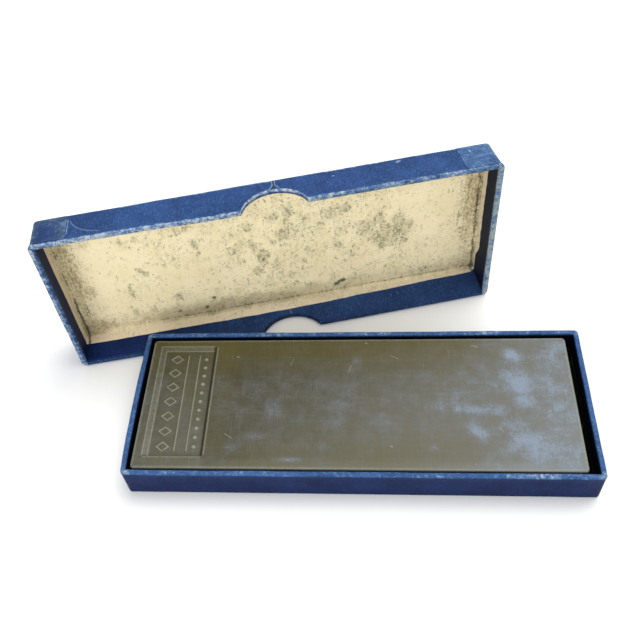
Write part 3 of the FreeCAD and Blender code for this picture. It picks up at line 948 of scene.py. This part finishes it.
# --- Stone ---
class Stone:
    """A moulded block with rounded edges and a bevelled recess that holds a worn raised pattern."""
    CORNER = 1.5
    EDGE = 0.6
    PANEL_FROM_END, PANEL_FROM_FAR = 3.6, 3.1
    PANEL_LENGTH, PANEL_WIDTH, PANEL_DEPTH = 24.8, 54.9, 1.0
    BEVEL_WIDE, BEVEL_STEEP = 2.8, 0.5
    ORNAMENT = 0.45
    LOZENGES, LOZENGE_LONG, LOZENGE_WIDE = 7, 2.6, 3.2
    STUDS, STUD_RADIUS = 11, 1.1
    RIB = 0.8
    # patches of dry slurry with painted reflection in them: place, half sizes, strength
    FILM_AND_SHEEN = [
        (65, 23, 3.2, 3, 0.9), (66, 9, 5, 5, 1.05), (67, 0, 4, 3, 0.75), (48, -4.5, 9, 2.2, 0.6),
        (46, -13, 4, 4, 0.5), (50, -17, 2.5, 3, 0.5), (72, -22, 10, 6, 0.55), (64, -15, 8, 7, 0.35),
        (-34, -3, 3.6, 5, 0.5), (-50, -22, 3, 2.4, 0.6), (-40, -17, 4, 2, 0.45), (-13, -22, 3, 2, 0.35),
        (-26, -27.5, 5, 1.3, 0.9), (-9, -10, 6, 4, 0.35), (-5, 2, 6, 8, 0.3), (-58, 3, 3, 9, 0.3),
        (30, -2, 9, 4, 0.3), (10, -10, 5, 5, 0.3), (44, 8, 7, 6, 0.35), (0, 20, 2, 2, 0.5),
        (30, -22, 2.4, 2, 0.4), (82, 0, 6, 16, 0.3), (82, 24, 5, 5, 0.35)]

    def __init__(self):
        low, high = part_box("whetstone_block")
        self.low, self.high = np.array(low) / MM, np.array(high) / MM
        self.middle, self.half = ((self.high + self.low) / 2)[:2], ((self.high - self.low) / 2)[:2]
        self.mouth = (self.low[0] + self.PANEL_FROM_END,
                      self.low[0] + self.PANEL_FROM_END + self.PANEL_LENGTH,
                      self.high[1] - self.PANEL_FROM_FAR - self.PANEL_WIDTH,
                      self.high[1] - self.PANEL_FROM_FAR)
        x0, x1, y0, y1 = self.mouth
        wide, steep = self.BEVEL_WIDE, self.BEVEL_STEEP
        self.floor = (x0 + wide, x1 - steep, y0 + steep, y1 - wide)

    def sink(self, x, y):
        """Share of the recess's depth at a point, 0 outside it."""
        x0, x1, y0, y1 = self.mouth
        share = min((x - x0) / self.BEVEL_WIDE, (x1 - x) / self.BEVEL_STEEP,
                    (y - y0) / self.BEVEL_STEEP, (y1 - y) / self.BEVEL_WIDE)
        return min(1.0, max(0.0, share))

    def relief(self, x, y):
        """Share of the ornament's height at a point of the recess's floor, unevenly worn."""
        x0, x1, y0, y1 = self.floor
        if not (x0 < x < x1 and y0 < y < y1):
            return 0.0
        middle = (y0 + y1) / 2
        usable = y1 - y0 - 2 * self.LOZENGE_LONG - 3.0
        lozenge_x = x0 + 2.0 + self.LOZENGE_WIDE
        stud_x = x1 - 3.4

        def off_centre(count):
            """Distance along y to the nearest of a row of evenly spaced marks."""
            pitch = usable / (count - 1)
            nearest = min(count - 1, max(0, round((y - middle + usable / 2) / pitch)))
            return y - (middle - usable / 2 + nearest * pitch)

        dy = off_centre(self.LOZENGES)
        inside = 1 - abs(x - lozenge_x) / self.LOZENGE_WIDE - abs(dy) / self.LOZENGE_LONG
        height = smooth(inside, 0.0, 0.14) * (1 - 0.75 * smooth(inside, 0.26, 0.42))
        off = hypot(x - stud_x, off_centre(self.STUDS))
        height = max(height, smooth(self.STUD_RADIUS - off, 0.0, 0.45))
        rib_left = lozenge_x + self.LOZENGE_WIDE + 1.4 + self.RIB / 2
        rib_right = stud_x - self.STUD_RADIUS - 1.4 - self.RIB / 2
        for rib in (rib_left, rib_right):
            across = smooth(self.RIB / 2 - abs(x - rib), -0.1, 0.25)
            height = max(height, across * smooth(min(y - y0 - 1.8, y1 - 1.8 - y), -0.1, 0.3))
        worn = (0.84 + 0.1 * wavy((x, y, 0), 2.2, 41)) * (0.86 + 0.12 * wavy((x, y, 0), 9.0, 42))
        return max(0.0, height * worn)

    def top(self, x, y):
        """Height of the upper face."""
        z = self.high[2] + 0.02 * wavy((x, y, 0), 25.0, 43) - 0.02
        share = self.sink(x, y)
        if share > 0:
            z -= self.PANEL_DEPTH * smooth(share, -0.08, 1.08)
            z += self.ORNAMENT * self.relief(x, y) + 0.03 * wavy((x, y, 0), 1.2, 44)
        return z

    def masks(self, x, y, z):
        """Tone, slurry with painted reflection, wear, and painted bevel light and shadow of the stone at a
        point.
        """
        x0, x1, y0, y1 = self.mouth
        on_top = z > self.high[2] - 1.4
        share = self.sink(x, y)
        # lighter towards the right and the near side: partly the stone's tone, partly painted reflection
        pale = 0.10 + 0.0034 * (x + 50) - 0.0031 * y + 0.05 * smooth(x, 45, 90)
        pale += 0.22 * smooth(-60 - x, 0, 4) - 0.22 * smooth(8 - abs(x + 55), 0, 8) * smooth(y, 4, 18)
        pale += 0.16 * fall(abs(x - 5) - 60, 12) * smooth(-26 - y, 0, 4)
        olive = 0.75 * smooth(y, 8, 30) * smooth(64 - x, 0, 24)
        olive += 0.35 * smooth(-y, 10, 26) * smooth(60 - abs(x), 0, 20)
        olive += 0.3 * smooth(-50 - x, 0, 6) * smooth(x + 84, 0, 4)
        # heavier towards the right, partly painted reflection
        film_and_sheen = 0.30 + 0.28 * smooth(x, 0, 80) - 0.3 * olive + 0.22 * wavy((x, y, 0), 9.0, 47)
        for at_x, at_y, half_x, half_y, strength in self.FILM_AND_SHEEN:
            film_and_sheen += 0.85 * strength * bell((x - at_x) / half_x, (y - at_y) / half_y)
        cx, cy = self.middle
        hx, hy = self.half
        from_edge = min(hx - abs(x - cx), hy - abs(y - cy))
        rim = 0.8 * fall(from_edge - 0.4, 0.7) if on_top else 0.3
        # the bevels catch the light at their top and foot
        lip = 0.0
        if 0 < share < 1:
            lip = max(0.75 * bell((share - 0.1) / 0.16), 0.7 * bell((share - 0.86) / 0.16), 0.4)
        # painted shadow on the steep right and near bevels of the recess
        painted_bevel_shadow = fall(abs(x - x1 + 0.35) - 0.35, 0.3) * smooth(min(y - y0, y1 - y), -0.2, 1.0)
        rim = max(rim, 0.8 * fall(abs(x - x1 - 0.7) - 0.1, 0.3) * smooth(min(y - y0, y1 - y), -0.2, 1.0))
        across = smooth(min(x - x0, x1 - x), -0.2, 1.0)
        painted_bevel_shadow = max(painted_bevel_shadow, 0.5 * fall(abs(y - y0 - 0.3) - 0.12, 0.3) * across)
        rim = max(rim, 0.6 * fall(abs(y - y0 + 0.5) - 0.1, 0.35) * across)
        if not on_top:
            return {"pale": 0.25, "olive": 0.3, "residue_and_sheen": 0.3, "edge": rim, "raised": 0.0, "painted_bevel_shadow": 0.0}
        smear = 0.25 * max(0.0, wavy((x, y, 0), 5.0, 46)) if share >= 1 else 0.0
        return {"pale": pale, "olive": olive * (1 - 0.6 * share), "residue_and_sheen": film_and_sheen, "edge": max(rim, lip),
                "raised": smear + 1.8 * self.relief(x, y) if share >= 1 else 0.0, "painted_bevel_shadow": painted_bevel_shadow}

    def build(self, material):
        cx, cy = self.middle
        hx, hy = self.half
        r = self.CORNER
        x0, x1, y0, y1 = self.mouth
        xs = [cx - hx + r] + spaced(x0 - 0.6, x1 + 0.6, 0.24) + spaced(x1 + 1.5, cx + hx - r, 1.0)
        ys = spaced(cy - hy + r, y0 - 0.5, 0.8) + spaced(y0 - 0.3, y1 + 0.3, 0.26)
        ys = sorted(set(ys + spaced(y1 + 0.5, cy + hy - r, 0.8)))
        n = len(xs)
        verts = [(x, y, self.top(x, y)) for y in ys for x in xs]
        faces = [(j * n + i, j * n + i + 1, (j + 1) * n + i + 1, (j + 1) * n + i)
                 for j in range(len(ys) - 1) for i in range(n - 1)]

        # from the grid's border, rings go out to the sides, down them and in again under the block
        turn = quarter_turn(6)[1:-1]
        border = [(x, ys[0], -90) for x in xs] + [(xs[-1], ys[0], -90 + degrees(t)) for t in turn]
        border += [(xs[-1], y, 0) for y in ys] + [(xs[-1], ys[-1], degrees(t)) for t in turn]
        border += [(x, ys[-1], 90) for x in xs[::-1]] + [(xs[0], ys[-1], 90 + degrees(t)) for t in turn]
        border += [(xs[0], y, 180) for y in ys[::-1]] + [(xs[0], ys[0], 180 + degrees(t)) for t in turn]
        depth = self.high[2] - self.low[2]
        edge_turn = quarter_turn(5)[1:]
        levels = [(0.0, 0.0), (r - self.EDGE, 0.0)]
        levels += [(r - self.EDGE * (1 - sin(a)), self.EDGE * (1 - cos(a))) for a in edge_turn]
        levels += [(r, self.EDGE + (depth - 2 * self.EDGE) * i / 7) for i in range(1, 8)]
        levels += [(r - self.EDGE * (1 - cos(a)), depth - self.EDGE * (1 - sin(a))) for a in edge_turn]
        start = len(verts)
        for out, drop in levels:
            for bx, by, angle in border:
                x, y = bx + out * cos(radians(angle)), by + out * sin(radians(angle))
                chip = 0.10 * max(0.0, wavy((x, y, drop), 3.0, 45)) if 0 < drop < 2 else 0.0
                surface = self.top(bx, by) if drop < 2 else self.high[2]
                verts.append((x, y, surface - drop - chip))
        count = len(border)
        for level in range(len(levels) - 1):
            a = start + level * count
            for k in range(count):
                after = (k + 1) % count
                faces.append((a + k, a + count + k, a + count + after, a + after))
        last = start + (len(levels) - 1) * count
        faces.append(tuple(last + k for k in range(count))[::-1])
        masks = {}
        for point in verts:
            gather(masks, self.masks(*point))
        return make_piece("whetstone_block", verts, faces, masks, lambda v: np.array(v) * MM,
                          material, "stone")


# --- Stage ---
def lamp(name, at, size, power, colour):
    data = bpy.data.lights.new(name, "AREA")
    data.shape, data.size, data.energy, data.color = "SQUARE", size, power, colour
    light = bpy.data.objects.new(name, data)
    light.location = at
    light.rotation_euler = (Vector((0, 0, 0.02)) - Vector(at)).to_track_quat("-Z", "Y").to_euler()
    bpy.context.scene.collection.objects.link(light)


def floor_and_light():
    bpy.ops.mesh.primitive_plane_add(size=6.0, location=(0, 0, -0.0004))   # just clear of the part
    floor = bpy.context.object
    floor.name = "floor"
    floor.data.materials.append(pale_floor())
    world = bpy.data.worlds.new("studio")
    bpy.context.scene.world = world
    world.use_nodes = True
    background = world.node_tree.nodes["Background"]
    background.inputs[0].default_value = (0.95, 0.975, 1.0, 1.0)
    background.inputs[1].default_value = 0.62
    lamp("key", (0.25, 0.35, 0.95), 0.9, 10.5, (1.0, 0.99, 0.97))
    lamp("front", (-0.25, -0.95, 0.55), 0.9, 7.5, (0.97, 0.98, 1.0))


def camera():
    yaw, pitch, roll = (radians(v) for v in (CAMERA_YAW, CAMERA_PITCH, CAMERA_ROLL))
    forward = Vector((sin(yaw) * cos(pitch), cos(yaw) * cos(pitch), -sin(pitch)))
    level = Vector((cos(yaw), -sin(yaw), 0.0))
    down = forward.cross(level)
    right = level * cos(roll) + down * sin(roll)
    below = -level * sin(roll) + down * cos(roll)
    data = bpy.data.cameras.new("camera")
    data.sensor_width = SENSOR
    data.lens = LENS
    data.shift_x, data.shift_y = SHIFT
    data.clip_start, data.clip_end = 0.01, 20.0
    view = bpy.data.objects.new("camera", data)
    bpy.context.scene.collection.objects.link(view)
    view.rotation_mode = "QUATERNION"
    view.rotation_quaternion = Matrix([right, -below, -forward]).transposed().to_quaternion()
    view.location = Vector(CAMERA_AT) * MM
    bpy.context.scene.camera = view


def main():
    papers = blue_paper(), cream_lining(), greyboard(), kraft_tape()
    c, s = cos(LID_YAW), sin(LID_YAW)
    Tray("tray", ("near", "far"), ((1, 0, 0), (0, 1, 0), (0, 0, 1)), 1.6, False, papers).build()
    Lid("lid", ("lower", "upper"), ((c, s, 0), (0, 0, 1), (s, -c, 0)), 2.2, True, papers).build()
    Stone().build(hone_stone())
    bpy.context.scene.view_settings.view_transform = "Standard"
    floor_and_light()
    camera()


main()
